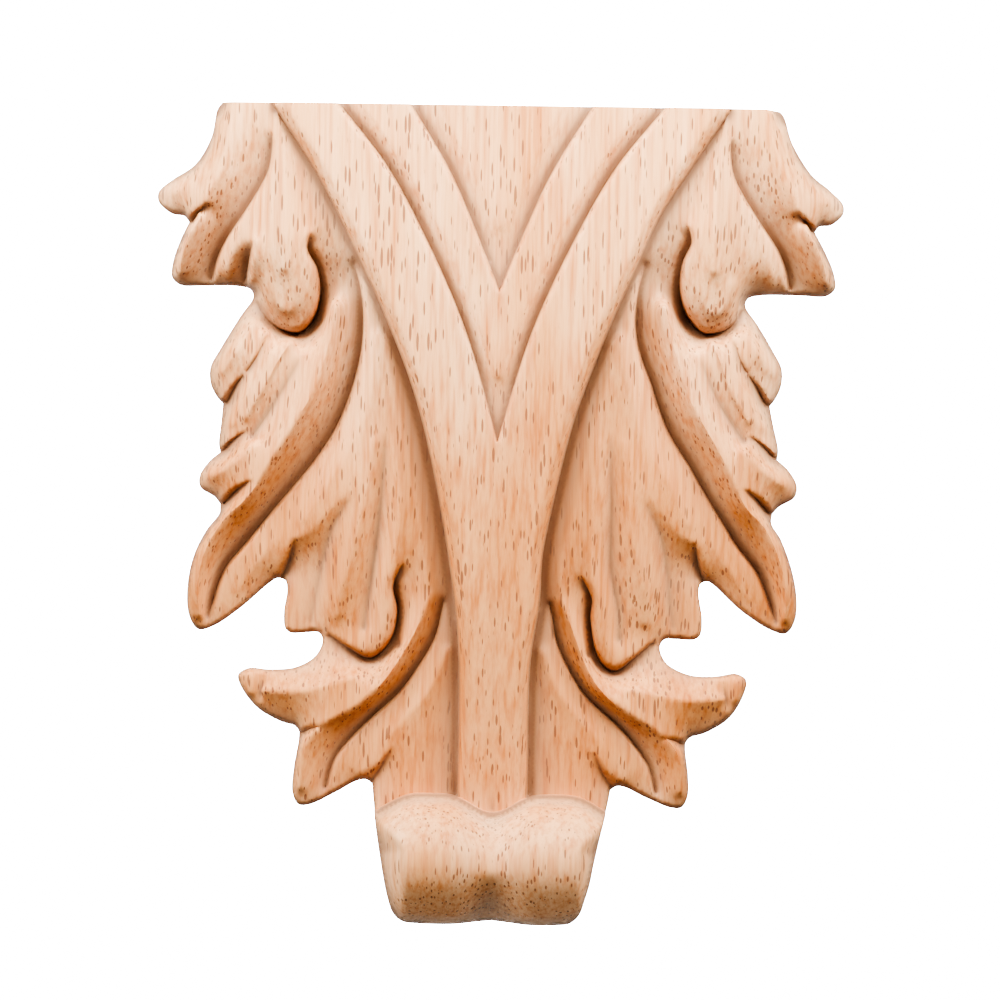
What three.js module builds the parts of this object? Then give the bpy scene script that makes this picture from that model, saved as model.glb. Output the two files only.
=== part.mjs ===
// A carved acanthus applique for a wall or cabinet front, cut from one block of hardwood.
// Millimetres. The flat back lies on y = 0, the carving faces -y, and z is up.
import * as THREE from 'three';

// Driving sizes in millimetres. Stand-off is the distance of the carving from the wall.
const HEIGHT = 165;
const WIDTH = 138.5;
const BAND_STANDOFF = 24;
const THROAT_STANDOFF = 10;
const SCROLL_STANDOFF = 28;
const SCROLL_EDGE_STANDOFF = 12;
const ROUND_OVER = 0.8;

// The pattern below is a drawing of its own, which is stretched at the end to the height and the
// width above. This is the level of its cut top edge, and z = 0 lies half way up.
const TOP = 82.5;

// How finely the drawing is divided.
const OUTLINE_SPACING = 1.6;
const LINE_SPACING = 2.0;
const STEP_SPACING = 1.4;
const FIELD_SPACING = 3.1;
const SCROLL_SPACING = 2.0;
const SCROLL_ROWS = 11;

// How near points may come on the lines, to the outline and in the open field, how far those of
// the field are moved off their honeycomb, and how near two levels count as the same.
const LINE_CLEARANCE = 0.33;
const OUTLINE_CLEARANCE = 0.9;
const FIELD_CLEARANCE = 0.62 * FIELD_SPACING;
const FIELD_SHIFT = 0.05;
const NARROWEST_STEP = 0.45;
const TOP_CLEARANCE = 0.3;
const CORNER_CLEARANCE = 1;
const SAME_LEVEL = 0.01;

// The stem face stands furthest off the wall in the upper part and sweeps back to the throat
// above the scroll. Every other height in the leaf is a share of it.
const SWEEP_TOP = 60;
const THROAT = -62;

function stemStandoff(z) {
  const t = THREE.MathUtils.clamp((SWEEP_TOP - z) / (SWEEP_TOP - THROAT), 0, 1);
  return BAND_STANDOFF - (BAND_STANDOFF - THROAT_STANDOFF) * (1 - Math.cos(t * Math.PI / 2));
}

// The scroll is a roll lying across the foot, with a waist in the middle, ends cut off at a slope
// and a hollow up under the middle.
const ROLL_PITCH = 25;
const ROLL_HALF = 22.6;
const ROLL_CREST = -56.4;
const ROLL_FOOT = -82.5;
const WAIST_DIP = 3.6;
const WAIST_RISE = 0.7;
const WAIST_SINK = 2.5;
const UNDER_HOLLOW = 6;
const UNDER_HOLLOW_HALF = 4.5;
const UNDER_HOLLOW_TOP = -71;
const BEVEL_START = 17.6;
const BEVEL_SPREAD = 5.4;
const BEVEL_FROM = -68;
const BEVEL_TO = -60;
const BEVEL_SLOPE = 1.15;
const THROAT_GAP = 0.45;
const LEAF_GAP = 0.8;

function smooth(from, to, value) {
  return THREE.MathUtils.smoothstep(value, from, to);
}

// One at the middle of the roll, and nothing at the fullest part of its two lobes.
function waist(x) {
  return Math.cos(Math.PI * x / ROLL_PITCH) ** 4;
}

function rollTop(x) {
  return ROLL_CREST - WAIST_DIP * waist(x);
}

function rollFoot(x) {
  return ROLL_FOOT + WAIST_RISE * waist(x);
}

function bevelStart(z) {
  return BEVEL_START + BEVEL_SPREAD * smooth(BEVEL_FROM, BEVEL_TO, z);
}

function rollStandoff(x, z) {
  const top = rollTop(x);
  const foot = rollFoot(x);
  const share = THREE.MathUtils.clamp((2 * z - top - foot) / (top - foot), -1, 1);
  const bulge = SCROLL_STANDOFF - SCROLL_EDGE_STANDOFF - WAIST_SINK * waist(x);
  const hollow = UNDER_HOLLOW * Math.exp(-((x / UNDER_HOLLOW_HALF) ** 2))
    * smooth(0, UNDER_HOLLOW_TOP - ROLL_FOOT, UNDER_HOLLOW_TOP - z);
  const bevel = BEVEL_SLOPE * Math.max(0, Math.abs(x) - bevelStart(z));
  return SCROLL_EDGE_STANDOFF + bulge * Math.sqrt(1 - share * share) - hollow - bevel;
}

// Half of the outline, from the corner of the cut top edge down to the middle of the foot, as runs
// that are smooth within themselves and meet in sharp notches. Each point is the distance from
// the middle, the height, and the share of the stem's stand-off that the edge keeps there.
const OUTLINE = [
  [ // upper lobe and its rounded tip
    [56.4, TOP, 0.62], [57.4, 81.2, 0.6], [58.6, 75.5, 0.56], [61.8, 70, 0.53], [66.3, 66.9, 0.5],
    [69.1, 64.4, 0.48], [69.1, 62.4, 0.47], [66.6, 60.2, 0.47], [64, 59.7, 0.45], [62.9, 58.4, 0.42],
  ],
  [ // second lobe, the bay under it and the first lobe of the long leaf
    [62.9, 58.4, 0.42], [64.6, 54.8, 0.44], [66.1, 50.2, 0.42], [66.2, 47.2, 0.4], [64.7, 45.8, 0.38],
    [60, 45.7, 0.36], [53, 45.7, 0.4], [50.5, 45.1, 0.42], [49.7, 43.6, 0.44], [52.3, 39.5, 0.45],
    [56.2, 33, 0.44], [58.2, 29.2, 0.42], [58.1, 25.8, 0.4], [56.8, 23.2, 0.38], [55.6, 21.9, 0.34],
  ],
  [ // second lobe of the long leaf
    [55.6, 21.9, 0.34], [55.9, 18, 0.4], [56.3, 13.8, 0.4], [56, 12.1, 0.36],
  ],
  [ // third lobe of the long leaf
    [56, 12.1, 0.36], [58.2, 10.2, 0.4], [60.1, 7.2, 0.4], [59.9, 4.9, 0.38], [57, 3, 0.36],
    [55.9, 1.6, 0.32],
  ],
  [ // drooping lobe, bay, square lobe, bay and hook
    [55.9, 1.6, 0.32], [56, -0.2, 0.4], [58.6, -3.7, 0.42], [61, -8.6, 0.42], [62.3, -15, 0.4],
    [61.9, -21, 0.36], [60, -23.8, 0.34], [57, -23.1, 0.32], [51.5, -19.3, 0.34], [45.7, -14.2, 0.34],
    [44, -13.2, 0.32], [42.5, -13.7, 0.36], [42.1, -15.5, 0.38], [42.7, -20, 0.38], [42.4, -23.3, 0.36],
    [41.3, -24.2, 0.36], [38, -24.1, 0.36], [35.6, -24.1, 0.38], [34.8, -25.6, 0.4], [36.2, -28.8, 0.4],
    [40.3, -31.2, 0.4], [45.5, -31.7, 0.42], [49.8, -31.5, 0.42], [51.8, -32.8, 0.42], [51.2, -35.2, 0.4],
    [47.8, -39.5, 0.38], [43, -42.2, 0.36], [40.1, -43.1, 0.35], [39.3, -44.2, 0.33],
  ],
  [ // lowest lobe
    [39.3, -44.2, 0.33], [39.4, -46, 0.42], [40.3, -51.5, 0.44], [40.5, -56.5, 0.42], [39.3, -58.9, 0.4],
    [37, -58.9, 0.38], [32, -56.5, 0.36], [27.5, -54, 0.38], [25.6, -53.7, 0.38], [24.4, -54.5, 0.38],
  ],
  [ // foot of the leaf and end and underside of the scroll
    [24.4, -54.5, 0.38], [24.1, -57.5, 0.42], [23.5, -62.5, 0.5], [22.4, -69.5, 0.5], [20.9, -77, 0.5],
    [19.7, -80.3, 0.5], [17.9, -81.9, 0.5], [14.5, -82.4, 0.5], [8, -82.5, 0.5], [3.5, -82.1, 0.5],
    [0, -81.8, 0.5],
  ],
];

// Crests, hollows and swellings of the half pattern, as smooth lines of [from the middle, height,
// share of the stem's stand-off].
const LINES = [
  // raised field of the top panel
  [[0, TOP, 0.95], [0, 60, 0.95]],
  [[12, TOP, 0.95], [6, 70, 0.95], [0, 58, 0.945]],
  // flat of the inner band
  [[28.3, TOP, 0.975], [19.3, 70, 0.975], [10.7, 55, 0.975], [0, 28, 0.975]],
  [[0, 43.5, 0.975], [0, 28, 0.975]],
  // flat of the outer band and the stem
  [[43.9, TOP, 1], [34.5, 68, 1], [26.5, 52.5, 1], [20.1, 38.5, 1], [14.6, 24, 1], [11, 10.5, 1],
    [7.5, -9, 1], [5.5, -26, 1], [5.2, -59, 1]],
  [[0, 10, 0.995], [0, -20, 0.985], [0, -59, 0.985]],
  // upper leaf: arris, crest and flat end of the drop lobe, hollow of the outer lobe
  [[54.2, TOP, 0.84], [55, 75, 0.84], [56.6, 69, 0.82], [58.2, 65.6, 0.8], [60.2, 61.4, 0.76],
    [62.6, 56, 0.7], [64.2, 51, 0.61], [64.4, 48, 0.53]],
  [[45.5, TOP, 0.87], [43.6, 70, 0.91], [43.6, 56, 0.91], [43.4, 49, 0.87]],
  [[40.4, 49.5, 0.85], [40.2, 44.8, 0.81], [41.3, 41.2, 0.75], [43.4, 40.7, 0.73], [45.7, 43.2, 0.73],
    [46.9, 47.5, 0.76]],
  [[57.4, 79, 0.7], [58.6, 73.4, 0.67], [62, 68, 0.63], [65.6, 64.3, 0.58]],
  [[53.2, 54, 0.68], [54.6, 49.5, 0.6], [54.8, 47, 0.52]],
  // long leaf: arris outside the main crease
  [[33, 42, 0.84], [34.2, 34.5, 0.84], [37, 25, 0.82], [40.5, 18.8, 0.8], [44.6, 12.2, 0.76],
    [50, 3.4, 0.69], [55, -1.6, 0.64], [58.8, -8.2, 0.6], [60.2, -15, 0.54], [59.8, -21, 0.46]],
  // hollow beside it, and swellings of its three small lobes
  [[39.6, 32, 0.72], [44.2, 23.6, 0.66], [49.4, 15.4, 0.57]],
  [[45.6, 32, 0.69], [50.6, 24, 0.64], [53.6, 17.6, 0.55]],
  [[49.5, 38, 0.62], [53.2, 32.4, 0.62], [55.8, 28.3, 0.52]],
  [[48.8, 13.6, 0.7], [53.5, 10, 0.63], [57.4, 7.2, 0.52]],
  // inside the main crease: crest that turns out to the notch, and swelling of the drooping lobe
  [[24.5, 36, 0.79], [24.8, 29, 0.78], [27.6, 17, 0.75], [33.4, 7, 0.69], [38.6, -1.4, 0.62]],
  [[28.6, 6.6, 0.74], [33.4, 1, 0.67], [37.4, -3.4, 0.61], [40, -5, 0.57]],
  [[44.5, -5.2, 0.52], [48.2, -10, 0.47], [52.4, -16.4, 0.39]],
  // hollow down to the square lobe
  [[30.2, 2.4, 0.69], [33.2, -3.4, 0.59], [35.2, -11, 0.47], [37.2, -21.6, 0.38]],
  // floors beside the eyes of the two drop lobes
  [[36.9, 53.6, 0.8], [35, 50, 0.72], [34.4, 46.4, 0.64]],
  [[18.9, -13.5, 0.62], [18.1, -19.5, 0.58], [19.3, -26.6, 0.54]],
  // spoon of the lower drop lobe: rim one side, hollow, rim the other side
  [[24.8, 15, 0.77], [27, 2, 0.755], [28.5, -5.2, 0.735], [30.6, -13.5, 0.68], [31.8, -20.6, 0.58]],
  [[22.4, 17, 0.75], [23.2, 4, 0.69], [24.4, -8, 0.615], [26.4, -23, 0.54]],
  [[20.3, 15, 0.76], [19.4, 0, 0.75], [21.9, -13.5, 0.71], [22.6, -22, 0.67], [26, -27.3, 0.6]],
  // swelling between the spoon and the stem
  [[23.2, 35, 0.79], [19.8, 21, 0.75], [16.8, 6, 0.72], [14.2, -6, 0.69], [13.2, -14, 0.67]],
  // lower leaf: arris outside the main crease, hook, swelling inside the crease and foot
  [[13, -16, 0.68], [16.8, -25, 0.73], [22.6, -34, 0.77], [28.2, -39.2, 0.74], [34.6, -42.4, 0.68],
    [38, -46.8, 0.64], [38.8, -56, 0.56]],
  [[28, -33, 0.7], [38, -35.8, 0.64], [46.8, -36, 0.54]],
  [[46.9, -32.6, 0.46], [47.3, -38.6, 0.44]],
  [[49.5, -33, 0.49], [49.3, -36.5, 0.49]],
  [[9.4, -27, 0.62], [13.4, -36, 0.64], [21, -44.6, 0.62], [26.6, -52.4, 0.5]],
  [[13, -44, 0.61], [17.4, -52, 0.58], [19.6, -57.5, 0.55]],
];

// Steps, where one lobe or band lies over the next: [from the middle, height, share above, share
// below]. The upper surface is on the left of the way along the line, or on the right where
// `upper` says so. The wall between them widens from the first gap to the last.
const STEPS = [
  { // panel edge, under the inner band
    gap: [0.3, 0.3],
    at: [[18.3, TOP, 0.985, 0.87], [10, 68.5, 0.985, 0.87], [3, 52.5, 0.985, 0.89], [0, 45, 0.98, 0.92]],
  },
  { // inner band edge, under the outer band
    gap: [0.3, 0.3],
    at: [[32.9, TOP, 1, 0.88], [23, 70, 1, 0.88], [14.7, 55, 1, 0.88], [6.7, 37, 1, 0.89],
      [0, 14.8, 1, 0.94]],
  },
  { // edge of the outer band and the stem, over the leaf
    gap: [0.5, 0.5], upper: 'right',
    at: [[46.2, TOP, 0.94, 0.86], [36.7, 68, 0.94, 0.83], [28.7, 52.5, 0.94, 0.8],
      [22.2, 38.5, 0.94, 0.73], [16.6, 24, 0.94, 0.66], [13, 10.5, 0.94, 0.62], [9.3, -9, 0.93, 0.58],
      [7.2, -26, 0.93, 0.55], [6.9, -58, 0.93, 0.54]],
  },
  { // main crease of the upper leaf
    gap: [0.25, 0.6], upper: 'right',
    at: [[46.3, 76.8, 0.88, 0.86], [46.1, 74, 0.86, 0.8], [46.8, 69, 0.84, 0.74], [48.7, 65, 0.8, 0.69],
      [51.8, 60, 0.73, 0.62], [55.2, 54.8, 0.63, 0.49], [57.1, 50.6, 0.54, 0.39],
      [57.9, 46.9, 0.46, 0.34]],
  },
  { // main crease of the long leaf
    gap: [0.25, 0.6], upper: 'right',
    at: [[29.3, 50.4, 0.73, 0.72], [27.9, 45.2, 0.76, 0.68], [27.3, 38.6, 0.75, 0.6],
      [28.2, 30.1, 0.7, 0.55], [31.8, 18.9, 0.64, 0.5], [36.3, 11.3, 0.59, 0.46], [43.7, 2.1, 0.51, 0.4],
      [50.2, -6, 0.46, 0.3], [54.6, -11.6, 0.42, 0.25], [57, -18.6, 0.38, 0.26],
      [57.8, -21.4, 0.34, 0.32]],
  },
  { // main crease of the lower leaf
    gap: [0.25, 0.6], upper: 'right',
    at: [[10.3, -17.4, 0.55, 0.53], [12, -24.7, 0.58, 0.47], [15, -30.2, 0.57, 0.45],
      [19, -35.9, 0.54, 0.42], [24.9, -41.5, 0.5, 0.39], [28.9, -45.6, 0.47, 0.36],
      [31.9, -49.7, 0.44, 0.33], [33.5, -55.4, 0.4, 0.31]],
  },
  { // upper drop lobe over the long leaf
    gap: [0.25, 0.5],
    at: [[38.2, 56.5, 0.89, 0.87], [38.9, 53.2, 0.88, 0.74], [36.8, 49.1, 0.83, 0.62],
      [36.3, 43.8, 0.77, 0.49], [37.7, 39, 0.7, 0.35], [40.4, 36.5, 0.64, 0.41], [44.2, 37.3, 0.59, 0.5],
      [47.3, 40, 0.55, 0.52], [48.9, 42.9, 0.53, 0.49]],
  },
  { // lower drop lobe over the lower leaf
    gap: [0.25, 0.5],
    at: [[18.9, -10, 0.7, 0.68], [20.7, -14.5, 0.7, 0.5], [19.8, -19.5, 0.68, 0.42],
      [21.2, -25.5, 0.65, 0.37], [25, -28.9, 0.58, 0.38], [29.5, -26.9, 0.56, 0.42],
      [33.3, -24.4, 0.46, 0.39]],
  },
  // small folds between the lobes of the long leaf
  {
    gap: [0.2, 0.4],
    at: [[41.8, 34.4, 0.73, 0.72], [44.1, 30.9, 0.73, 0.71], [47.5, 24.2, 0.7, 0.675],
      [50.6, 18.9, 0.64, 0.62]],
  },
  { gap: [0.2, 0.4], at: [[46.6, 36.2, 0.65, 0.64], [49, 31.4, 0.64, 0.62], [50.8, 28.7, 0.6, 0.575]] },
  // wedges cut in at the notches
  { gap: [0.2, 1.3], at: [[58.7, 62.2, 0.75, 0.74], [60.8, 60.9, 0.7, 0.58], [62.6, 59, 0.56, 0.44]] },
  { gap: [0.2, 1.2], at: [[51.4, 27.8, 0.57, 0.56], [53.4, 25.6, 0.53, 0.47], [55.2, 22.6, 0.45, 0.37]] },
  { gap: [0.2, 0.8], at: [[50.9, 16.4, 0.58, 0.57], [53.5, 14.7, 0.53, 0.47], [55.4, 12.9, 0.43, 0.37]] },
  { gap: [0.2, 1], at: [[49.9, 6.4, 0.68, 0.66], [52.8, 4.6, 0.58, 0.49], [55.3, 2.2, 0.44, 0.35]] },
  { gap: [0.2, 1.2], at: [[40.7, -5, 0.57, 0.56], [42.2, -9.4, 0.49, 0.38], [43.5, -12.6, 0.4, 0.29]] },
  { gap: [0.2, 1], at: [[34.6, -42.9, 0.66, 0.65], [37.1, -43.2, 0.57, 0.5], [38.8, -43.9, 0.44, 0.36]] },
  { gap: [0.2, 1.3], at: [[20.6, -47, 0.62, 0.6], [22.8, -50.6, 0.57, 0.47], [24.9, -53.4, 0.45, 0.37]] },
  { // gouge cut beside the upper drop lobe, on one side only
    gap: [0.2, 1.2], side: 'left', upper: 'right',
    at: [[49.7, 54.8, 0.84, 0.8], [50.4, 50.5, 0.78, 0.52], [50.8, 46.6, 0.62, 0.42]],
  },
];

// Where the other half strays from the first: [from the middle, height, shift out, shift up].
const STRAY_REACH = 6;
const STRAYS = [
  [57.4, 81.5, -1, 0], [60, 72.5, 1.2, 0], [69.4, 63, -0.4, -1], [63, 58.5, 0.9, 0],
  [66.2, 47.5, 2, -0.6], [53, 45.7, 0, 0.5], [49.6, 43.8, -0.3, -1.8], [42, 38, 1.2, 1.5],
  [38.4, 55, -0.4, 2.6], [58.3, 28, -1, 1.4], [55.5, 22, -1, 1.2], [56.3, 13, 1.2, -0.2],
  [60.2, 6, 0.9, 0], [55.9, 1, -0.5, -1], [30, 25, 1.9, 0], [36, 12, 1.9, 0], [61.4, -9.5, -1.9, 0],
  [54.5, -12, -1.8, 0], [57.6, -20.5, -2.4, 1], [62.2, -18, -0.9, 0.6], [60, -23.8, 0, 0.9],
  [44, -13.2, -1, 0.8], [41.8, -24, 0, -0.5], [34.8, -25.6, -2.2, -0.2], [25.4, -28.8, -0.6, -2.4],
  [18.9, -10, -1.8, -2.4], [10.2, -17.5, 1, 0], [51.8, -33, -1.2, 0.6], [46.5, -40.5, 0.9, -0.9],
  [39.3, -44.4, -0.8, -1.6], [39, -59, -1, 0.6], [24.6, -54.2, -0.3, -0.8], [23, -66, -1.7, 0],
  [19.7, -80.4, -2, 0],
];

// Smooth curve through [x, z, ...values] points, sampled about every `spacing` millimetres.
function sampled(points, spacing) {
  const curve = new THREE.CatmullRomCurve3(points.map(([x, z]) => new THREE.Vector3(x, z, 0)));
  const count = Math.max(2, Math.round(curve.getLength() / spacing));
  const samples = [];
  for (let i = 0; i <= count; i += 1) {
    const u = i / count;
    const t = curve.getUtoTmapping(u);
    const at = curve.getPoint(t);
    const along = curve.getTangent(t);
    const knot = Math.min(points.length - 2, Math.floor(t * (points.length - 1)));
    const blend = t * (points.length - 1) - knot;
    const values = points[knot].slice(2).map((v, k) => v + (points[knot + 1][k + 2] - v) * blend);
    samples.push({ x: at.x, z: at.y, tx: along.x, tz: along.y, u, values });
  }
  return samples;
}

// Tests whether a level is that of the cut top edge.
function atTop(z) {
  return z > TOP - SAME_LEVEL;
}

// Place on the work for a place in the half pattern.
function placed(x, z, side) {
  const level = atTop(z) ? TOP : z;
  if (side < 0) return [-x, level];
  let weight = 0;
  let dx = 0;
  let dz = 0;
  for (const [sx, sz, ox, oz] of STRAYS) {
    const w = Math.exp(-((x - sx) ** 2 + (z - sz) ** 2) / (2 * STRAY_REACH ** 2));
    weight += w;
    dx += w * ox;
    dz += w * oz;
  }
  const ease = smooth(0, STRAY_REACH, x) / Math.max(1, weight);
  return [x + dx * ease, atTop(z) ? TOP : z + dz * ease];
}

// Outline of one half, without the cut top edge.
function halfOutline(side) {
  const points = [];
  OUTLINE.forEach((run, k) => {
    const samples = sampled(run, OUTLINE_SPACING);
    if (k > 0) samples.shift();
    for (const s of samples) {
      const [x, z] = placed(s.x, s.z, side);
      points.push({ x, z, share: s.values[0] });
    }
  });
  return points;
}

// Points on both edges of one step: the upper surface ends on one, the lower starts on the other.
function stepPoints(step, side) {
  const turn = step.upper === 'right' ? -1 : 1;
  const points = [];
  for (const s of sampled(step.at, STEP_SPACING)) {
    const gap = Math.max(NARROWEST_STEP, THREE.MathUtils.lerp(step.gap[0], step.gap[1], s.u));
    const outX = -s.tz * turn * gap / 2;
    const outZ = atTop(s.z) ? 0 : s.tx * turn * gap / 2;
    for (const [sign, share] of [[1, s.values[0]], [-1, s.values[1]]]) {
      const [x, z] = placed(Math.max(0, s.x + sign * outX), s.z + sign * outZ, side);
      points.push({ x, z, share });
    }
  }
  return points;
}

// Fixed points of every step and line on one half.
function halfLines(side) {
  const points = [];
  for (const step of STEPS) {
    if (step.side !== 'left' || side < 0) points.push(...stepPoints(step, side));
  }
  for (const line of LINES) {
    for (const s of sampled(line, LINE_SPACING)) {
      const [x, z] = placed(s.x, s.z, side);
      points.push({ x, z, share: s.values[0] });
    }
  }
  return points;
}

// Tests whether a place lies within a closed ring of points.
function within(x, z, ring) {
  let inside = false;
  for (let i = 0, j = ring.length - 1; i < ring.length; j = i, i += 1) {
    const a = ring[i];
    const b = ring[j];
    if ((a.z > z) !== (b.z > z) && x < a.x + (z - a.z) * (b.x - a.x) / (b.z - a.z)) inside = !inside;
  }
  return inside;
}

// Points kept in cells, so that a near neighbour is found quickly.
class Cells {
  constructor(size) {
    this.size = size;
    this.map = new Map();
  }

  key(x, z) {
    return `${Math.floor(x / this.size)},${Math.floor(z / this.size)}`;
  }

  add(p) {
    const key = this.key(p.x, p.z);
    if (!this.map.has(key)) this.map.set(key, []);
    this.map.get(key).push(p);
  }

  near(x, z, reach) {
    for (let dx = -this.size; dx <= this.size; dx += this.size) {
      for (let dz = -this.size; dz <= this.size; dz += this.size) {
        for (const p of this.map.get(this.key(x + dx, z + dz)) ?? []) {
          if (Math.hypot(p.x - x, p.z - z) < reach) return true;
        }
      }
    }
    return false;
  }
}

// The corners of a first triangle, round everything, are this far off.
const FIRST_REACH = 5000;

// Delaunay triangles of a set of points, each point added in turn to the first triangle.
function delaunay(points) {
  const far = FIRST_REACH;
  const all = [...points, { x: -far, z: -far }, { x: far, z: -far }, { x: 0, z: far }];
  const n = points.length;
  const make = (a, b, c) => {
    const bx = all[b].x - all[a].x;
    const bz = all[b].z - all[a].z;
    const cx = all[c].x - all[a].x;
    const cz = all[c].z - all[a].z;
    const d = 2 * (bx * cz - bz * cx);
    const ux = (cz * (bx * bx + bz * bz) - bz * (cx * cx + cz * cz)) / d;
    const uz = (bx * (cx * cx + cz * cz) - cx * (bx * bx + bz * bz)) / d;
    return { a, b, c, x: all[a].x + ux, z: all[a].z + uz, r2: ux * ux + uz * uz };
  };
  let triangles = [make(n, n + 1, n + 2)];
  for (let i = 0; i < n; i += 1) {
    const p = points[i];
    const kept = [];
    const edges = new Map();
    for (const t of triangles) {
      if ((p.x - t.x) ** 2 + (p.z - t.z) ** 2 >= t.r2) {
        kept.push(t);
        continue;
      }
      for (const [u, v] of [[t.a, t.b], [t.b, t.c], [t.c, t.a]]) {
        const back = `${v},${u}`;
        if (edges.has(back)) edges.delete(back);
        else edges.set(`${u},${v}`, [u, v]);
      }
    }
    for (const [u, v] of edges.values()) kept.push(make(u, v, i));
    triangles = kept;
  }
  return triangles.filter((t) => t.a < n && t.b < n && t.c < n).map((t) => [t.a, t.b, t.c]);
}

// Triangles of the points that lie inside the outline, whose ring comes first in the list.
function filled(points, ringLength) {
  const ring = points.slice(0, ringLength);
  return delaunay(points).filter(([a, b, c]) => {
    const x = (points[a].x + points[b].x + points[c].x) / 3;
    const z = (points[a].z + points[b].z + points[c].z) / 3;
    return within(x, z, ring);
  });
}

// Sides of the outline that no triangle uses.
function missingSides(triangles, ringLength) {
  const used = new Set();
  for (const [a, b, c] of triangles) {
    for (const [u, v] of [[a, b], [b, c], [c, a]]) used.add(u < v ? `${u},${v}` : `${v},${u}`);
  }
  const missing = [];
  for (let i = 0; i < ringLength; i += 1) {
    const j = (i + 1) % ringLength;
    if (!used.has(i < j ? `${i},${j}` : `${j},${i}`)) missing.push(i);
  }
  return missing;
}

// Point half way along a side of the outline. Where an end has no share, it has none either.
function midpoint(a, b) {
  const known = a.share !== undefined && b.share !== undefined;
  return {
    x: (a.x + b.x) / 2,
    z: (a.z + b.z) / 2,
    share: known ? (a.share + b.share) / 2 : undefined,
    edge: true,
    top: a.top && b.top,
  };
}

// The whole outline as a ring, with the places where lines run off the cut top edge.
function outlineRing(marks) {
  const right = halfOutline(1);
  const left = halfOutline(-1);
  left.pop();
  const from = left[0].x + CORNER_CLEARANCE;
  const to = right[0].x - CORNER_CLEARANCE;
  const tops = marks.filter((m) => atTop(m.z) && m.x > from && m.x < to);
  tops.sort((a, b) => a.x - b.x);
  const row = [left[0]];
  for (const mark of [...tops, right[0]]) {
    const last = row[row.length - 1];
    if (mark.x - last.x < TOP_CLEARANCE) continue;
    const extra = Math.floor((mark.x - last.x) / FIELD_SPACING);
    for (let k = 1; k <= extra; k += 1) {
      row.push({ x: last.x + (mark.x - last.x) * k / (extra + 1), z: TOP });
    }
    row.push(mark);
  }
  row.forEach((p) => { p.top = true; });
  const ring = [...row, ...right.slice(1), ...left.slice(1).reverse()];
  ring.forEach((p) => { p.edge = true; });
  return ring;
}

// Tests whether a point lies on the roll of the scroll.
function inRoll(p) {
  return p.z < rollTop(p.x) + SAME_LEVEL && Math.abs(p.x) < ROLL_PITCH;
}

// Points of the scroll: the throat line above it, the starts of the bevels, and rows round the
// roll at even angles, with every other row moved half a space along.
function scrollPoints() {
  const points = [];
  const columns = Math.round(2 * ROLL_HALF / SCROLL_SPACING);
  const space = 2 * ROLL_HALF / columns;
  for (let i = 0; i <= columns; i += 1) {
    const x = -ROLL_HALF + i * space;
    points.push({ x, z: rollTop(x) + THROAT_GAP });
  }
  for (let row = 0; row < SCROLL_ROWS - 1; row += 1) {
    const down = (1 - Math.cos(Math.PI * (row + 0.5) / SCROLL_ROWS)) / 2;
    const level = (x) => rollTop(x) - down * (rollTop(x) - rollFoot(x));
    const start = bevelStart(level(BEVEL_START));
    for (const x of [-start, start]) points.push({ x, z: level(x) });
    for (let i = 0; i <= columns; i += 1) {
      const x = -ROLL_HALF + (i + (row % 2) / 2) * space;
      points.push({ x, z: level(x) });
    }
  }
  return points;
}

// Points of the open field, in a honeycomb, each moved a little so that no four share a circle.
function fieldPoints(ring) {
  const points = [];
  const rise = FIELD_SPACING * Math.sqrt(3) / 2;
  const left = Math.min(...ring.map((p) => p.x));
  const right = Math.max(...ring.map((p) => p.x));
  const foot = Math.min(...ring.map((p) => p.z));
  for (let row = 1; TOP - row * rise > foot; row += 1) {
    const start = left + (row % 2) * FIELD_SPACING / 2;
    for (let x = start; x < right; x += FIELD_SPACING) {
      const z = TOP - row * rise;
      const shift = FIELD_SHIFT * Math.sin(x * z);
      points.push({ x: x + shift, z: z + shift });
    }
  }
  return points;
}

// The outline ring, and the points inside it that keep their distance from each other.
function surfacePoints() {
  const lines = [...halfLines(1), ...halfLines(-1)];
  const ring = outlineRing(lines);
  const edge = new Cells(FIELD_SPACING);
  ring.forEach((p) => edge.add(p));
  const taken = new Cells(FIELD_SPACING);
  const inner = [];
  const take = (p, reach, edgeReach) => {
    if (!within(p.x, p.z, ring)) return;
    if (taken.near(p.x, p.z, reach) || edge.near(p.x, p.z, edgeReach)) return;
    taken.add(p);
    inner.push(p);
  };
  scrollPoints().forEach((p) => take(p, LINE_CLEARANCE, LINE_CLEARANCE));
  for (const p of lines) {
    if (!atTop(p.z) && p.z > rollTop(p.x) + LEAF_GAP) take(p, LINE_CLEARANCE, OUTLINE_CLEARANCE);
  }
  fieldPoints(ring).forEach((p) => take(p, FIELD_CLEARANCE, FIELD_CLEARANCE));
  return { ring, inner };
}

// Lets the free points settle as a stretched skin would between the fixed ones.
const SETTLE_ROUNDS = 900;
const SETTLE_PUSH = 1.6;
const SHORTEST_LINK = 0.2;
const FIRST_SHARE = 0.7;

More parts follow.
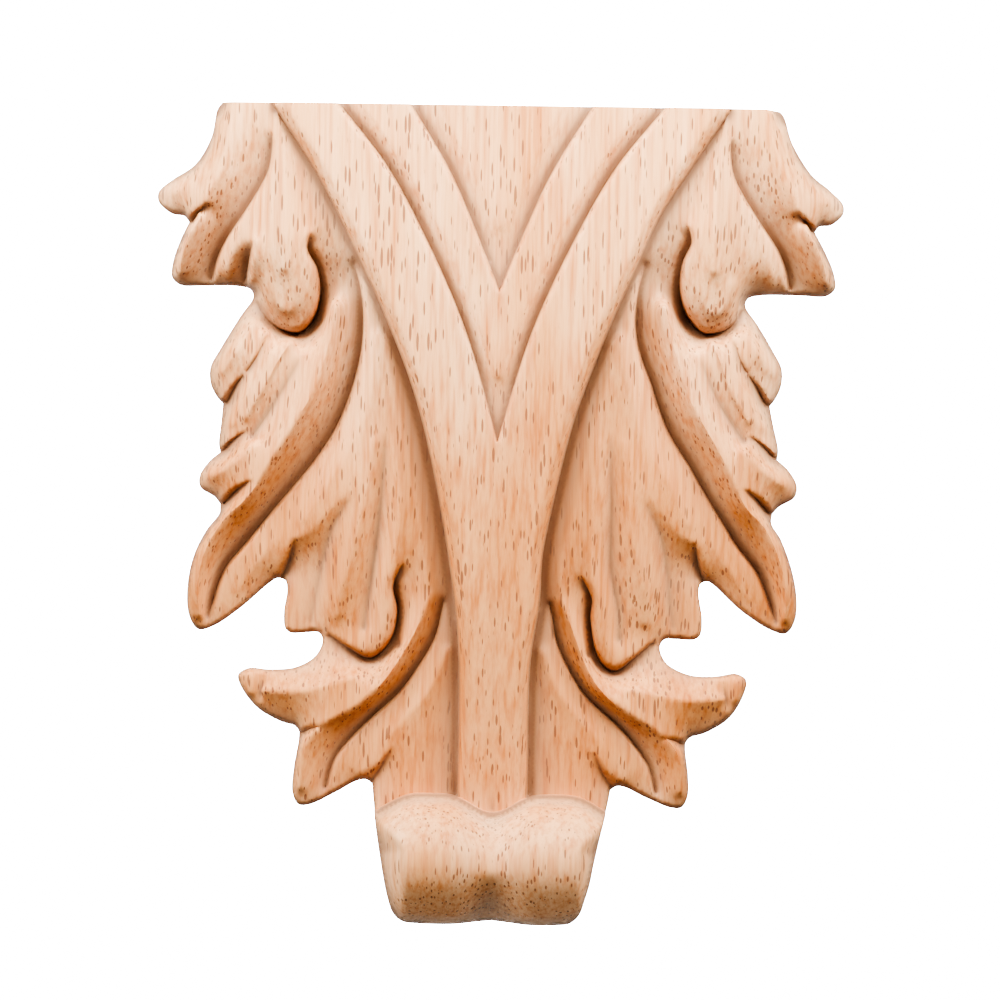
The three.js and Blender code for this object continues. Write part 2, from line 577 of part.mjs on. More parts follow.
function settle(points, triangles) {
  const near = points.map(() => new Set());
  for (const [a, b, c] of triangles) {
    for (const [u, v] of [[a, b], [b, c], [c, a]]) {
      near[u].add(v);
      near[v].add(u);
    }
  }
  const level = points.map((p) => {
    if (p.roll) return rollStandoff(p.x, p.z);
    return (p.share ?? FIRST_SHARE) * stemStandoff(p.z);
  });
  const free = [...points.keys()].filter((i) => !points[i].roll && points[i].share === undefined);
  const links = free.map((i) => [...near[i]].filter((j) => !points[j].roll).map((j) => {
    const apart = Math.hypot(points[j].x - points[i].x, points[j].z - points[i].z);
    return [j, 1 / Math.max(SHORTEST_LINK, apart)];
  }));
  for (let round = 0; round < SETTLE_ROUNDS; round += 1) {
    free.forEach((i, k) => {
      let sum = 0;
      let weight = 0;
      for (const [j, w] of links[k]) {
        sum += w * level[j];
        weight += w;
      }
      level[i] += SETTLE_PUSH * (sum / weight - level[i]);
    });
  }
  return level;
}

// Front and back triangles, with points added to the outline until both use all its sides.
function joinedFaces(ring, inner) {
  for (;;) {
    const points = [...ring, ...inner];
    const front = filled(points, ring.length);
    const back = filled(ring, ring.length);
    const missing = new Set([...missingSides(front, ring.length), ...missingSides(back, ring.length)]);
    if (missing.size === 0) return { points, front, back };
    for (const i of [...missing].sort((a, b) => b - a)) {
      ring.splice(i + 1, 0, midpoint(ring[i], ring[(i + 1) % ring.length]));
    }
  }
}

function carvedSolid() {
  const { ring, inner } = surfacePoints();
  const { points, front, back } = joinedFaces(ring, inner);
  points.forEach((p) => { p.roll = inRoll(p); });
  const level = settle(points, front);

  const xs = ring.map((p) => p.x);
  const zs = ring.map((p) => p.z);
  const across = WIDTH / (Math.max(...xs) - Math.min(...xs));
  const up = HEIGHT / (Math.max(...zs) - Math.min(...zs));
  const positions = [];
  points.forEach((p, i) => {
    const round = p.edge && !p.top ? ROUND_OVER : 0;
    positions.push(p.x * across, round - level[i], p.z * up);
  });
  ring.forEach((p) => positions.push(p.x * across, 0, p.z * up));

  const index = front.flat();
  const behind = points.length;
  for (const [a, b, c] of back) index.push(behind + a, behind + c, behind + b);
  for (let i = 0; i < ring.length; i += 1) {
    const j = (i + 1) % ring.length;
    index.push(i, j, behind + j, i, behind + j, behind + i);
  }
  const geometry = new THREE.BufferGeometry();
  geometry.setAttribute('position', new THREE.Float32BufferAttribute(positions, 3));
  geometry.setIndex(index);
  geometry.computeVertexNormals();
  return geometry;
}

function bareHardwood() {
  return new THREE.MeshStandardMaterial({
    name: 'bare_hardwood', color: '#e0b894', roughness: 0.62, metalness: 0,
  });
}

const applique = new THREE.Mesh(carvedSolid(), bareHardwood());
applique.name = 'acanthus_applique';

const model = new THREE.Group();
model.name = 'acanthus_applique_model';
model.add(applique);

export default model;
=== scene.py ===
import math

import bpy
import numpy as np
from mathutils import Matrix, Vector
from mathutils.geometry import delaunay_2d_cdt


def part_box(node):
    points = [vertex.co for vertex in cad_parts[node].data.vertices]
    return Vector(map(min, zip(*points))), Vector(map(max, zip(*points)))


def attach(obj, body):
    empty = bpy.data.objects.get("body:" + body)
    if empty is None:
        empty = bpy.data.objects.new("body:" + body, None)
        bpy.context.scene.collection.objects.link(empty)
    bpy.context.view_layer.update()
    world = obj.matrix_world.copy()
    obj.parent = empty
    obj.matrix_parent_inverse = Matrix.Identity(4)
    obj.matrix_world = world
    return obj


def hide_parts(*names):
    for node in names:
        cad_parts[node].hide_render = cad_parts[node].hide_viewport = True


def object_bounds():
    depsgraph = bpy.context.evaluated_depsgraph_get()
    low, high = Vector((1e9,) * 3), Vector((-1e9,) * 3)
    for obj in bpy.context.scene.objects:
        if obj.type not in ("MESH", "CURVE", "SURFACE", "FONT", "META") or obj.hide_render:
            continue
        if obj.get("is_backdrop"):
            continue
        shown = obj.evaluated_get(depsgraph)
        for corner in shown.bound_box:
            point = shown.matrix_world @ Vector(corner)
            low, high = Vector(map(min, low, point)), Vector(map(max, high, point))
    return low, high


MM = 1000.0

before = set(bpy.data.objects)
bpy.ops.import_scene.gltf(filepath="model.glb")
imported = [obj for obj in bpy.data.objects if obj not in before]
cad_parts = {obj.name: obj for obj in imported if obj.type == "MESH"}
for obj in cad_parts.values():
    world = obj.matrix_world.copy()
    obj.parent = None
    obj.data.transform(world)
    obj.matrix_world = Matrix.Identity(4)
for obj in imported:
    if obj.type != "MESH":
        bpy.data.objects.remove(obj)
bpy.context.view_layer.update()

# %% [markdown]
# The applique is one carving cut from one pale hardwood board, so the scene has one piece. It could
# be sculpted by hand with brushes, but a relief seen from the front is easier to keep true as a map.
# Each place in the front view gets a distance that the wood stands off the wall. A drawing in
# millimetres holds the outline and the tool lines, and the block that the CAD frame gives for the
# carving sets the real size.

# %% Sizes of the drawing
NODE = "acanthus_applique"
TOP = 82.5
BAND_STANDOFF = 24.0
THROAT_STANDOFF = 10.0
SCROLL_STANDOFF = 28.0
SCROLL_EDGE_STANDOFF = 12.0

SWEEP_TOP = 60.0
THROAT = -62.0

block_low, block_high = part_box(NODE)
print("block of the frame, mm:", [round(MM * v, 1) for v in block_high - block_low])

# %% [markdown]
# The stem face is flat in the upper part and then sweeps back to the throat above the scroll. It
# could be a curve drawn by hand, but a quarter of a cosine wave starts level with the flat part, as
# the real sweep does, and needs only its two ends. Every other height in the leaf is a share of the
# stem's own stand-off at the same level, so the leaf gets thinner together with the stem.

# %% Sweep of the stem


def stem_standoff(z):
    """How far the face of the stem stands off the wall at the level z."""
    t = np.clip((SWEEP_TOP - z) / (SWEEP_TOP - THROAT), 0, 1)
    return BAND_STANDOFF - (BAND_STANDOFF - THROAT_STANDOFF) * (1 - np.cos(t * math.pi / 2))


print("stem stand-off at the top and the throat, mm:",
      [round(float(stem_standoff(z)), 1) for z in (TOP, THROAT)])

# %% [markdown]
# The scroll at the foot is a roll lying across the work. A bent cylinder would do for a plain one,
# but this roll is half an ellipse in section and its form changes along it, so a formula gives its
# stand-off. A waist in the middle makes two lobes, the ends are cut off at a slope, and a hollow
# runs up under the middle where the gouge came in from below.

# %% Scroll
ROLL_PITCH = 25.0
ROLL_CREST = -56.4
ROLL_FOOT = -82.5
WAIST_DIP = 3.6
WAIST_RISE = 0.7
WAIST_SINK = 2.5
UNDER_HOLLOW = 6.0
UNDER_HOLLOW_HALF = 4.5
UNDER_HOLLOW_TOP = -71.0
BEVEL_START = 17.6
BEVEL_SPREAD = 5.4
BEVEL_FROM = -68.0
BEVEL_TO = -60.0
BEVEL_SLOPE = 1.15


def smooth(start, end, value):
    """Goes softly from 0 to 1 while the value goes from start to end."""
    t = np.clip((value - start) / (end - start), 0, 1)
    return t * t * (3 - 2 * t)


def waist(x):
    """One at the middle of the roll and nothing at the fullest part of its two lobes."""
    return np.cos(math.pi * x / ROLL_PITCH) ** 4


def roll_top(x):
    """Level of the upper edge of the roll."""
    return ROLL_CREST - WAIST_DIP * waist(x)


def roll_standoff(x, z):
    """How far the roll stands off the wall."""
    top = roll_top(x)
    foot = ROLL_FOOT + WAIST_RISE * waist(x)
    share = np.clip((2 * z - top - foot) / (top - foot), -1, 1)
    bulge = SCROLL_STANDOFF - SCROLL_EDGE_STANDOFF - WAIST_SINK * waist(x)
    hollow = UNDER_HOLLOW * np.exp(-(x / UNDER_HOLLOW_HALF) ** 2)
    hollow = hollow * smooth(0, UNDER_HOLLOW_TOP - ROLL_FOOT, UNDER_HOLLOW_TOP - z)
    bevel_start = BEVEL_START + BEVEL_SPREAD * smooth(BEVEL_FROM, BEVEL_TO, z)
    bevel = BEVEL_SLOPE * np.maximum(0, np.abs(x) - bevel_start)
    return SCROLL_EDGE_STANDOFF + bulge * np.sqrt(1 - share * share) - hollow - bevel


half_way = (ROLL_CREST + ROLL_FOOT) / 2
print("scroll stand-off at a lobe and at the waist, mm:",
      [round(float(roll_standoff(x, half_way)), 1) for x in (ROLL_PITCH / 2, 0.0)])

# %% [markdown]
# The drawing is half a pattern, because the carver mirrored it about the stem. It has three kinds
# of line. The outline is where the fret saw went round, in runs that meet in sharp notches. Tool
# lines are the crests and creases. Steps are the places where one lobe lies on another, with a
# height on each side. The first two numbers of a point are its distance from the middle and its
# level in mm, and what follows is the share of the stem's stand-off there.
#
# A step's gap is the width of its little wall in mm, where the line starts and where it ends. Its
# first share belongs to the left of the way along the line, or to the side that "upper" names, and
# "side" keeps a step to one half of the work. The last table is for the right half alone. The two
# halves were carved by eye and differ by a millimetre or two, so at each of these places the right
# half strays that far across and up.

# %% Drawing
OUTLINE = [
    [  # upper lobe and its rounded tip
        [56.4, TOP, 0.62], [57.4, 81.2, 0.6], [58.6, 75.5, 0.56], [61.8, 70, 0.53], [66.3, 66.9, 0.5],
        [69.1, 64.4, 0.48], [69.1, 62.4, 0.47], [66.6, 60.2, 0.47], [64, 59.7, 0.45], [62.9, 58.4, 0.42],
    ],
    [  # second lobe, the bay under it and the first lobe of the long leaf
        [62.9, 58.4, 0.42], [64.6, 54.8, 0.44], [66.1, 50.2, 0.42], [66.2, 47.2, 0.4], [64.7, 45.8, 0.38],
        [60, 45.7, 0.36], [53, 45.7, 0.4], [50.5, 45.1, 0.42], [49.7, 43.6, 0.44], [52.3, 39.5, 0.45],
        [56.2, 33, 0.44], [58.2, 29.2, 0.42], [58.1, 25.8, 0.4], [56.8, 23.2, 0.38], [55.6, 21.9, 0.34],
    ],
    [  # second lobe of the long leaf
        [55.6, 21.9, 0.34], [55.9, 18, 0.4], [56.3, 13.8, 0.4], [56, 12.1, 0.36],
    ],
    [  # third lobe of the long leaf
        [56, 12.1, 0.36], [58.2, 10.2, 0.4], [60.1, 7.2, 0.4], [59.9, 4.9, 0.38], [57, 3, 0.36],
        [55.9, 1.6, 0.32],
    ],
    [  # drooping lobe, bay, square lobe, bay and hook
        [55.9, 1.6, 0.32], [56, -0.2, 0.4], [58.6, -3.7, 0.42], [61, -8.6, 0.42], [62.3, -15, 0.4],
        [61.9, -21, 0.36], [60, -23.8, 0.34], [57, -23.1, 0.32], [51.5, -19.3, 0.34], [45.7, -14.2, 0.34],
        [44, -13.2, 0.32], [42.5, -13.7, 0.36], [42.1, -15.5, 0.38], [42.7, -20, 0.38],
        [42.4, -23.3, 0.36], [41.3, -24.2, 0.36], [38, -24.1, 0.36], [35.6, -24.1, 0.38],
        [34.8, -25.6, 0.4], [36.2, -28.8, 0.4], [40.3, -31.2, 0.4], [45.5, -31.7, 0.42],
        [49.8, -31.5, 0.42], [51.8, -32.8, 0.42], [51.2, -35.2, 0.4], [47.8, -39.5, 0.38],
        [43, -42.2, 0.36], [40.1, -43.1, 0.35], [39.3, -44.2, 0.33],
    ],
    [  # lowest lobe
        [39.3, -44.2, 0.33], [39.4, -46, 0.42], [40.3, -51.5, 0.44], [40.5, -56.5, 0.42],
        [39.3, -58.9, 0.4], [37, -58.9, 0.38], [32, -56.5, 0.36], [27.5, -54, 0.38], [25.6, -53.7, 0.38],
        [24.4, -54.5, 0.38],
    ],
    [  # foot of the leaf and end and underside of the scroll
        [24.4, -54.5, 0.38], [24.1, -57.5, 0.42], [23.5, -62.5, 0.5], [22.4, -69.5, 0.5],
        [20.9, -77, 0.5], [19.7, -80.3, 0.5], [17.9, -81.9, 0.5], [14.5, -82.4, 0.5], [8, -82.5, 0.5],
        [3.5, -82.1, 0.5], [0, -81.8, 0.5],
    ],
]
LINES = [
    # raised field of the top panel
    [[0, TOP, 0.95], [0, 60, 0.95]],
    [[12, TOP, 0.95], [6, 70, 0.95], [0, 58, 0.945]],
    # flat of the inner band
    [[28.3, TOP, 0.975], [19.3, 70, 0.975], [10.7, 55, 0.975], [0, 28, 0.975]],
    [[0, 43.5, 0.975], [0, 28, 0.975]],
    # flat of the outer band and the stem
    [[43.9, TOP, 1], [34.5, 68, 1], [26.5, 52.5, 1], [20.1, 38.5, 1], [14.6, 24, 1], [11, 10.5, 1],
     [7.5, -9, 1], [5.5, -26, 1], [5.2, -59, 1]],
    [[0, 10, 0.995], [0, -20, 0.985], [0, -59, 0.985]],
    # upper leaf: arris, crest and flat end of the drop lobe, hollow of the outer lobe
    [[54.2, TOP, 0.84], [55, 75, 0.84], [56.6, 69, 0.82], [58.2, 65.6, 0.8], [60.2, 61.4, 0.76],
     [62.6, 56, 0.7], [64.2, 51, 0.61], [64.4, 48, 0.53]],
    [[45.5, TOP, 0.87], [43.6, 70, 0.91], [43.6, 56, 0.91], [43.4, 49, 0.87]],
    [[40.4, 49.5, 0.85], [40.2, 44.8, 0.81], [41.3, 41.2, 0.75], [43.4, 40.7, 0.73], [45.7, 43.2, 0.73],
     [46.9, 47.5, 0.76]],
    [[57.4, 79, 0.7], [58.6, 73.4, 0.67], [62, 68, 0.63], [65.6, 64.3, 0.58]],
    [[53.2, 54, 0.68], [54.6, 49.5, 0.6], [54.8, 47, 0.52]],
    # long leaf: arris outside the main crease
    [[33, 42, 0.84], [34.2, 34.5, 0.84], [37, 25, 0.82], [40.5, 18.8, 0.8], [44.6, 12.2, 0.76],
     [50, 3.4, 0.69], [55, -1.6, 0.64], [58.8, -8.2, 0.6], [60.2, -15, 0.54], [59.8, -21, 0.46]],
    # hollow beside it, and swellings of its three small lobes
    [[39.6, 32, 0.72], [44.2, 23.6, 0.66], [49.4, 15.4, 0.57]],
    [[45.6, 32, 0.69], [50.6, 24, 0.64], [53.6, 17.6, 0.55]],
    [[49.5, 38, 0.62], [53.2, 32.4, 0.62], [55.8, 28.3, 0.52]],
    [[48.8, 13.6, 0.7], [53.5, 10, 0.63], [57.4, 7.2, 0.52]],
    # inside the main crease: crest that turns out to the notch, and swelling of the drooping lobe
    [[24.5, 36, 0.79], [24.8, 29, 0.78], [27.6, 17, 0.75], [33.4, 7, 0.69], [38.6, -1.4, 0.62]],
    [[28.6, 6.6, 0.74], [33.4, 1, 0.67], [37.4, -3.4, 0.61], [40, -5, 0.57]],
    [[44.5, -5.2, 0.52], [48.2, -10, 0.47], [52.4, -16.4, 0.39]],
    # hollow down to the square lobe
    [[30.2, 2.4, 0.69], [33.2, -3.4, 0.59], [35.2, -11, 0.47], [37.2, -21.6, 0.38]],
    # floors beside the eyes of the two drop lobes
    [[36.9, 53.6, 0.8], [35, 50, 0.72], [34.4, 46.4, 0.64]],
    [[18.9, -13.5, 0.62], [18.1, -19.5, 0.58], [19.3, -26.6, 0.54]],
    # spoon of the lower drop lobe: rim one side, hollow, rim the other side
    [[24.8, 15, 0.77], [27, 2, 0.755], [28.5, -5.2, 0.735], [30.6, -13.5, 0.68], [31.8, -20.6, 0.58]],
    [[22.4, 17, 0.75], [23.2, 4, 0.69], [24.4, -8, 0.615], [26.4, -23, 0.54]],
    [[20.3, 15, 0.76], [19.4, 0, 0.75], [21.9, -13.5, 0.71], [22.6, -22, 0.67], [26, -27.3, 0.6]],
    # swelling between the spoon and the stem
    [[23.2, 35, 0.79], [19.8, 21, 0.75], [16.8, 6, 0.72], [14.2, -6, 0.69], [13.2, -14, 0.67]],
    # lower leaf: arris outside the main crease, hook, swelling inside the crease and foot
    [[13, -16, 0.68], [16.8, -25, 0.73], [22.6, -34, 0.77], [28.2, -39.2, 0.74], [34.6, -42.4, 0.68],
     [38, -46.8, 0.64], [38.8, -56, 0.56]],
    [[28, -33, 0.7], [38, -35.8, 0.64], [46.8, -36, 0.54]],
    [[46.9, -32.6, 0.46], [47.3, -38.6, 0.44]],
    [[49.5, -33, 0.49], [49.3, -36.5, 0.49]],
    [[9.4, -27, 0.62], [13.4, -36, 0.64], [21, -44.6, 0.62], [26.6, -52.4, 0.5]],
    [[13, -44, 0.61], [17.4, -52, 0.58], [19.6, -57.5, 0.55]],
]
STEPS = [
    {  # panel edge, under the inner band
        "gap": [0.3, 0.3],
        "at": [[18.3, TOP, 0.985, 0.87], [10, 68.5, 0.985, 0.87], [3, 52.5, 0.985, 0.89],
               [0, 45, 0.98, 0.92]],
    },
    {  # inner band edge, under the outer band
        "gap": [0.3, 0.3],
        "at": [[32.9, TOP, 1, 0.88], [23, 70, 1, 0.88], [14.7, 55, 1, 0.88], [6.7, 37, 1, 0.89],
               [0, 14.8, 1, 0.94]],
    },
    {  # edge of the outer band and the stem, over the leaf
        "gap": [0.5, 0.5], "upper": "right",
        "at": [[46.2, TOP, 0.94, 0.86], [36.7, 68, 0.94, 0.83], [28.7, 52.5, 0.94, 0.8],
               [22.2, 38.5, 0.94, 0.73], [16.6, 24, 0.94, 0.66], [13, 10.5, 0.94, 0.62],
               [9.3, -9, 0.93, 0.58], [7.2, -26, 0.93, 0.55], [6.9, -58, 0.93, 0.54]],
    },
    {  # main crease of the upper leaf
        "gap": [0.25, 0.6], "upper": "right",
        "at": [[46.3, 76.8, 0.88, 0.86], [46.1, 74, 0.86, 0.8], [46.8, 69, 0.84, 0.74],
               [48.7, 65, 0.8, 0.69], [51.8, 60, 0.73, 0.62], [55.2, 54.8, 0.63, 0.49],
               [57.1, 50.6, 0.54, 0.39], [57.9, 46.9, 0.46, 0.34]],
    },
    {  # main crease of the long leaf
        "gap": [0.25, 0.6], "upper": "right",
        "at": [[29.3, 50.4, 0.73, 0.72], [27.9, 45.2, 0.76, 0.68], [27.3, 38.6, 0.75, 0.6],
               [28.2, 30.1, 0.7, 0.55], [31.8, 18.9, 0.64, 0.5], [36.3, 11.3, 0.59, 0.46],
               [43.7, 2.1, 0.51, 0.4], [50.2, -6, 0.46, 0.3], [54.6, -11.6, 0.42, 0.25],
               [57, -18.6, 0.38, 0.26], [57.8, -21.4, 0.34, 0.32]],
    },
    {  # main crease of the lower leaf
        "gap": [0.25, 0.6], "upper": "right",
        "at": [[10.3, -17.4, 0.55, 0.53], [12, -24.7, 0.58, 0.47], [15, -30.2, 0.57, 0.45],
               [19, -35.9, 0.54, 0.42], [24.9, -41.5, 0.5, 0.39], [28.9, -45.6, 0.47, 0.36],
               [31.9, -49.7, 0.44, 0.33], [33.5, -55.4, 0.4, 0.31]],
    },
    {  # upper drop lobe over the long leaf
        "gap": [0.25, 0.5],
        "at": [[38.2, 56.5, 0.89, 0.87], [38.9, 53.2, 0.88, 0.74], [36.8, 49.1, 0.83, 0.62],
               [36.3, 43.8, 0.77, 0.49], [37.7, 39, 0.7, 0.35], [40.4, 36.5, 0.64, 0.41],
               [44.2, 37.3, 0.59, 0.5], [47.3, 40, 0.55, 0.52], [48.9, 42.9, 0.53, 0.49]],
    },
    {  # lower drop lobe over the lower leaf
        "gap": [0.25, 0.5],
        "at": [[18.9, -10, 0.7, 0.68], [20.7, -14.5, 0.7, 0.5], [19.8, -19.5, 0.68, 0.42],
               [21.2, -25.5, 0.65, 0.37], [25, -28.9, 0.58, 0.38], [29.5, -26.9, 0.56, 0.42],
               [33.3, -24.4, 0.46, 0.39]],
    },
    # small folds between the lobes of the long leaf
    {
        "gap": [0.2, 0.4],
        "at": [[41.8, 34.4, 0.73, 0.72], [44.1, 30.9, 0.73, 0.71], [47.5, 24.2, 0.7, 0.675],
               [50.6, 18.9, 0.64, 0.62]],
    },
    {"gap": [0.2, 0.4], "at": [[46.6, 36.2, 0.65, 0.64], [49, 31.4, 0.64, 0.62], [50.8, 28.7, 0.6, 0.575]]},
    # wedges cut in at the notches
    {"gap": [0.2, 1.3], "at": [[58.7, 62.2, 0.75, 0.74], [60.8, 60.9, 0.7, 0.58], [62.6, 59, 0.56, 0.44]]},
    {
        "gap": [0.2, 1.2],
        "at": [[51.4, 27.8, 0.57, 0.56], [53.4, 25.6, 0.53, 0.47], [55.2, 22.6, 0.45, 0.37]],
    },
    {
        "gap": [0.2, 0.8],
        "at": [[50.9, 16.4, 0.58, 0.57], [53.5, 14.7, 0.53, 0.47], [55.4, 12.9, 0.43, 0.37]],
    },
    {"gap": [0.2, 1], "at": [[49.9, 6.4, 0.68, 0.66], [52.8, 4.6, 0.58, 0.49], [55.3, 2.2, 0.44, 0.35]]},
    {"gap": [0.2, 1.2], "at": [[40.7, -5, 0.57, 0.56], [42.2, -9.4, 0.49, 0.38], [43.5, -12.6, 0.4, 0.29]]},
    {
        "gap": [0.2, 1],
        "at": [[34.6, -42.9, 0.66, 0.65], [37.1, -43.2, 0.57, 0.5], [38.8, -43.9, 0.44, 0.36]],
    },
    {
        "gap": [0.2, 1.3],
        "at": [[20.6, -47, 0.62, 0.6], [22.8, -50.6, 0.57, 0.47], [24.9, -53.4, 0.45, 0.37]],
    },
    {  # gouge cut beside the upper drop lobe, on one side only
        "gap": [0.2, 1.2], "side": "left", "upper": "right",
        "at": [[49.7, 54.8, 0.84, 0.8], [50.4, 50.5, 0.78, 0.52], [50.8, 46.6, 0.62, 0.42]],
    },
]
STRAYS = [
    [57.4, 81.5, -1, 0], [60, 72.5, 1.2, 0], [69.4, 63, -0.4, -1], [63, 58.5, 0.9, 0],
    [66.2, 47.5, 2, -0.6], [53, 45.7, 0, 0.5], [49.6, 43.8, -0.3, -1.8], [42, 38, 1.2, 1.5],
    [38.4, 55, -0.4, 2.6], [58.3, 28, -1, 1.4], [55.5, 22, -1, 1.2], [56.3, 13, 1.2, -0.2],
    [60.2, 6, 0.9, 0], [55.9, 1, -0.5, -1], [30, 25, 1.9, 0], [36, 12, 1.9, 0], [61.4, -9.5, -1.9, 0],
    [54.5, -12, -1.8, 0], [57.6, -20.5, -2.4, 1], [62.2, -18, -0.9, 0.6], [60, -23.8, 0, 0.9],
    [44, -13.2, -1, 0.8], [41.8, -24, 0, -0.5], [34.8, -25.6, -2.2, -0.2], [25.4, -28.8, -0.6, -2.4],
    [18.9, -10, -1.8, -2.4], [10.2, -17.5, 1, 0], [51.8, -33, -1.2, 0.6], [46.5, -40.5, 0.9, -0.9],
    [39.3, -44.4, -0.8, -1.6], [39, -59, -1, 0.6], [24.6, -54.2, -0.3, -0.8], [23, -66, -1.7, 0],
    [19.7, -80.4, -2, 0],
]
STRAY_REACH = 6.0

print("runs of outline, tool lines, steps:", len(OUTLINE), len(LINES), len(STEPS))

# %% [markdown]
# A carver's line is one sweep of the gouge, so each line of the drawing becomes a smooth curve
# through its points, cut at even distances. Blender's own Bezier curves would need two handles at
# every point. The centripetal form of the Catmull-Rom curve needs none, passes through every point
# and never loops near a tight bend.

# %% Smooth lines
LINE_SPACING = 0.45
SAMPLES_A_SPAN = 24
SAME_LEVEL = 0.01


def smooth_line(points, spacing):
    """Even samples of the curve through the points: [x, z, shares..., way x, way z, part done]."""
    rows = np.array(points, float)
    rows = np.vstack([2 * rows[0] - rows[1], rows, 2 * rows[-1] - rows[-2]])
    pieces = []
    for k in range(len(rows) - 3):
        a, b, c, d = rows[k:k + 4]
        before, here, after = (math.hypot(*(q - p)[:2]) ** 0.5 for p, q in ((a, b), (b, c), (c, d)))
        leave = ((b - a) / before - (c - a) / (before + here) + (c - b) / here) * here
        reach = ((c - b) / here - (d - b) / (here + after) + (d - c) / after) * here
        t = np.linspace(0, 1, SAMPLES_A_SPAN, endpoint=False)[:, None]
        piece = b + leave * t + (3 * (c - b) - 2 * leave - reach) * t ** 2
        piece = piece + (2 * (b - c) + leave + reach) * t ** 3
        piece[:, 2:] = b[2:] + (c[2:] - b[2:]) * t
        pieces.append(piece)
    dense = np.vstack(pieces + [rows[-2:-1]])
    steps = np.diff(dense[:, :2], axis=0)
    way = np.concatenate([[0], np.cumsum(np.hypot(steps[:, 0], steps[:, 1]))])
    at = np.linspace(0, way[-1], max(2, round(way[-1] / spacing)) + 1)
    even = np.column_stack([np.interp(at, way, column) for column in dense.T])
    along = np.gradient(even[:, :2], axis=0)
    along /= np.linalg.norm(along, axis=1, keepdims=True)
    return np.column_stack([even, along, at / way[-1]])


def placed(x, z, side):
    """Place on the work of a place in the half pattern, on the side -1 or 1."""
    if side < 0:
        return -x, z
    at_x, at_z, shift_x, shift_z = np.array(STRAYS, float).T
    far = (x[:, None] - at_x) ** 2 + (z[:, None] - at_z) ** 2
    weight = np.exp(-far / (2 * STRAY_REACH ** 2))
    ease = smooth(0, STRAY_REACH, x) / np.maximum(1, weight.sum(axis=1))
    lift = np.where(z < TOP, ease, 0)
    return x + (weight @ shift_x) * ease, z + (weight @ shift_z) * lift


def at_top(z):
    """Levels, with those that should lie on the cut top edge put there."""
    return np.where(z > TOP - SAME_LEVEL, TOP, z)


def outline_half(side):
    """The outline of one half, from the top corner to the middle of the foot."""
    rows = []
    for run in OUTLINE:
        line = smooth_line(run, LINE_SPACING)
        x, z = placed(line[:, 0], at_top(line[:, 1]), side)
        rows.append(np.column_stack([x, z, line[:, 2]])[1 if rows else 0:])
    return np.vstack(rows)


def tool_lines(side):
    """All crests, creases and both rails of each step of one half, as rows of x, z and share."""
    found = []
    for step in STEPS:
        if step.get("side") == "left" and side > 0:
            continue
        line = smooth_line(step["at"], LINE_SPACING)
        narrow, wide = step["gap"]
        half = (narrow + (wide - narrow) * line[:, -1]) / 2
        half = -half if step.get("upper") == "right" else half
        for sign, share in ((1, line[:, 2]), (-1, line[:, 3])):
            x = np.maximum(0, line[:, 0] - sign * line[:, -2] * half)
            z = np.where(line[:, 1] > TOP - SAME_LEVEL, TOP, line[:, 1] + sign * line[:, -3] * half)
            x, z = placed(x, z, side)
            found.append(np.column_stack([x, z, share]))
    for points in LINES:
        line = smooth_line(points, LINE_SPACING)
        x, z = placed(line[:, 0], at_top(line[:, 1]), side)
        found.append(np.column_stack([x, z, line[:, 2]]))
    return found


right = outline_half(1)
left = outline_half(-1)
lines = tool_lines(-1) + tool_lines(1)
print("outline points:", len(right) + len(left), "tool lines:", len(lines))

# %% [markdown]
# The surface is a net of triangles. A plain square grid pushed out by its heights would give every
# slanting crease the teeth of a saw. Here the corners lie close together on every line of the
# drawing, and in a honeycomb in between. Blender's constrained triangulation joins them and keeps
# each tool line as a row of edges, so a crease stays crisp from end to end.

# %% Net of triangles
FIELD_SPACING = 0.56
CREST_REACH = 0.15
LINE_REACH = 0.2
FIELD_REACH = 0.34
LONGEST_ON_CREST = 3 * LINE_SPACING
LONGEST_ON_LINE = 4 * LINE_SPACING
LEAF_GAP = 0.7
FREE = np.nan
ROLL_HALF = 22.6
CREST_LINES = (-0.05, 0.3)
FILL_INSIDE = 1
SAME_PLACE = 1e-6


def within(x, z, ring):
    """Which places lie inside the ring."""
    inside = np.zeros(len(x), bool)
    for (ax, az), (bx, bz) in zip(ring, np.roll(ring, 1, axis=0)):
        if az != bz:
            inside ^= ((bz > z) != (az > z)) & (x < ax + (z - az) * (bx - ax) / (bz - az))
    return inside


class Net:
    """Corners that keep their distance from each other, and the edges of the drawn lines."""

    def __init__(self):
        self.rows = []
        self.edges = []
        self.cells = {}

    def near(self, x, z, reach):
        """The nearest corner closer than the reach, or None."""
        best = None
        for i in range(int(x) - 1, int(x) + 2):
            for j in range(int(z) - 1, int(z) + 2):
                for corner in self.cells.get((i, j), ()):
                    far = math.hypot(self.rows[corner][0] - x, self.rows[corner][1] - z)
                    if far < reach:
                        best, reach = corner, far
        return best

    def add(self, row):
        """Adds a corner and gives its number."""
        self.cells.setdefault((int(row[0]), int(row[1])), []).append(len(self.rows))
        self.rows.append(row)
        return len(self.rows) - 1

    def add_line(self, rows, reach, longest):
        """Adds what has room of a line, with an edge between the corners that follow each other."""
        last = None
        for row in rows:
            if self.near(row[0], row[1], reach) is not None:
                continue
            new = self.add(row)
            if last is not None and math.dist(self.rows[last][:2], row[:2]) < longest:
                self.edges.append((last, new))
            last = new


